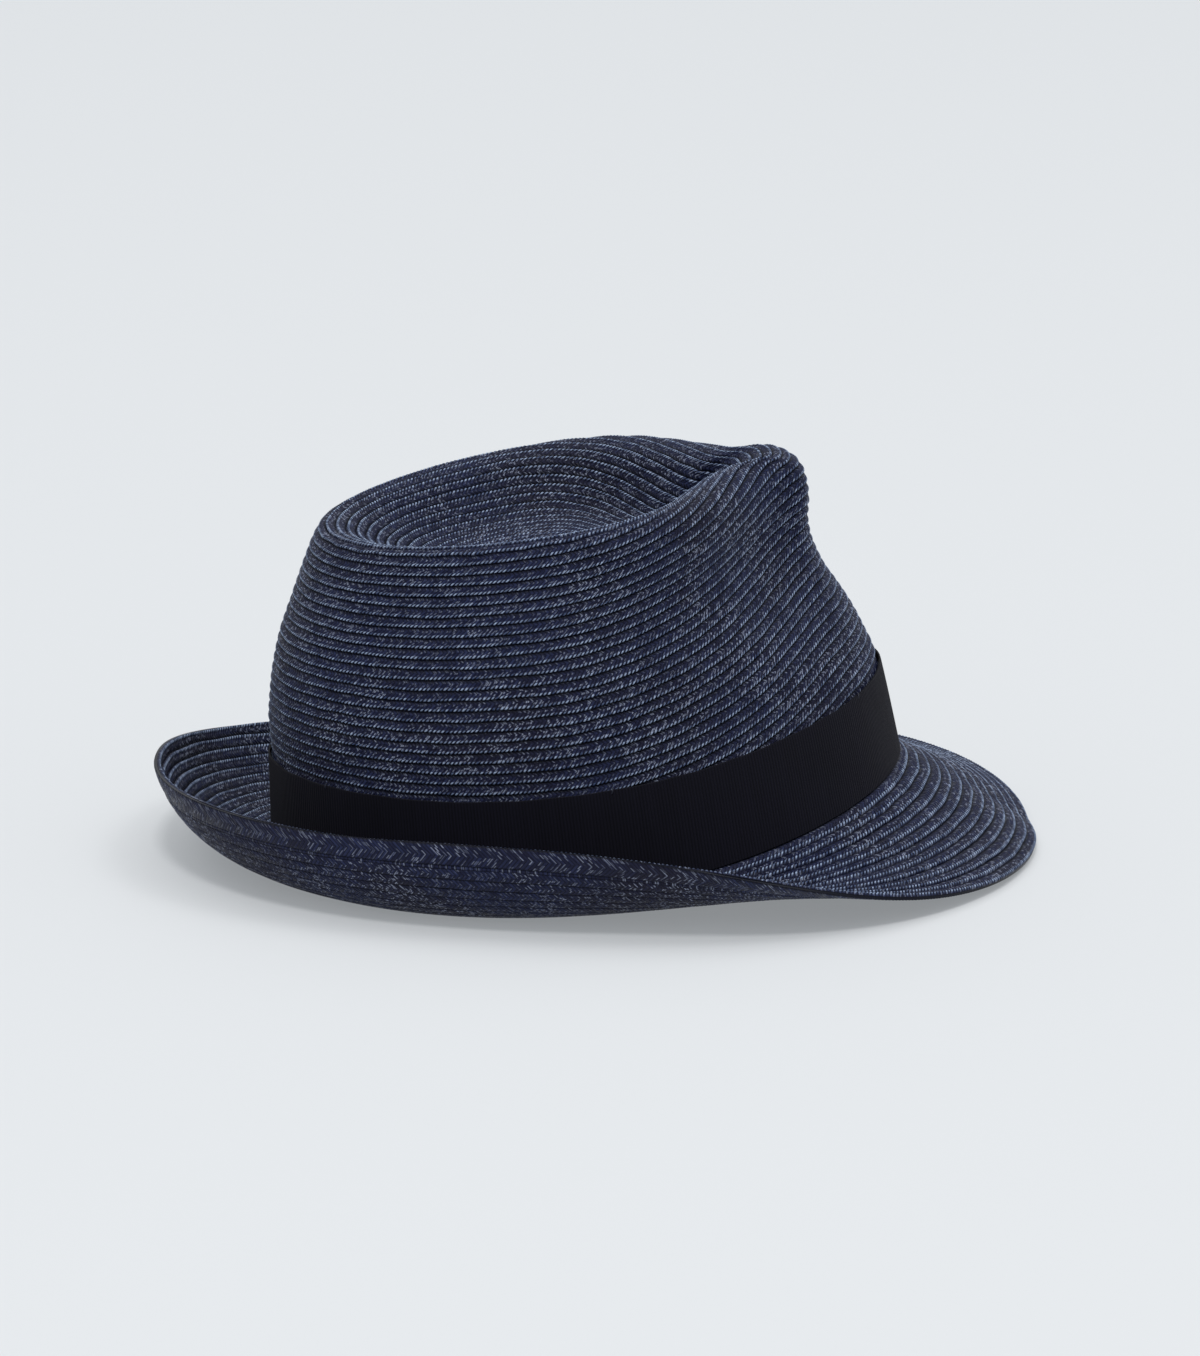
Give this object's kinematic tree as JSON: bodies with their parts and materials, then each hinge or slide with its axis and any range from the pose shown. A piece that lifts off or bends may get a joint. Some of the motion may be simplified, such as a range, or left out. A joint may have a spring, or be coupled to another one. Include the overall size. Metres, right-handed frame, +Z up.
{
  "type": "fedora hat",
  "caption": "Short-brimmed fedora of sewn braid with a teardrop crown, pinched front, brim snapped down in front, and a flat grosgrain band with a side bow.",
  "frame": {"origin": "middle of the hat's box, on the surface that it stands on", "axes": "+Y towards the back of the hat, +X towards the wearer's left, +Z up"},
  "size_m": [0.264, 0.3014, 0.1363],
  "materials": {
    "braid": "matt plaited hemp braid with glossy fibres, deep navy",
    "grosgrain": "fine vertical ribs, near-black navy, low sheen",
    "sweatband_leather": "smooth dark brown leather, satin",
    "thread": "twisted sewing thread, navy",
    "reed": "smooth pale cane-like reed",
    "label": "plain woven label cloth, off-white, blank"
  },
  "bodies": {
    "root": {"crown_tip_braid": "braid", "crown_side_braid": "braid", "brim_braid": "braid", "brim_edge_row": "braid", "hatband_ribbon": "grosgrain", "bow_front_loop": "grosgrain", "bow_rear_loop": "grosgrain", "bow_tail": "grosgrain", "bow_knot": "grosgrain", "sweatband": "sweatband_leather", "sweatband_reed": "reed", "sweatband_stitching": "thread", "sweatband_seam_tape": "grosgrain", "sweatband_bow": "grosgrain", "size_label": "label", "care_label": "label", "hatband_tack_1": "thread", "hatband_tack_2": "thread", "hatband_tack_3": "thread", "hatband_tack_4": "thread", "hatband_tack_5": "thread", "hatband_tack_6": "thread"}
  },
  "joints": []
}
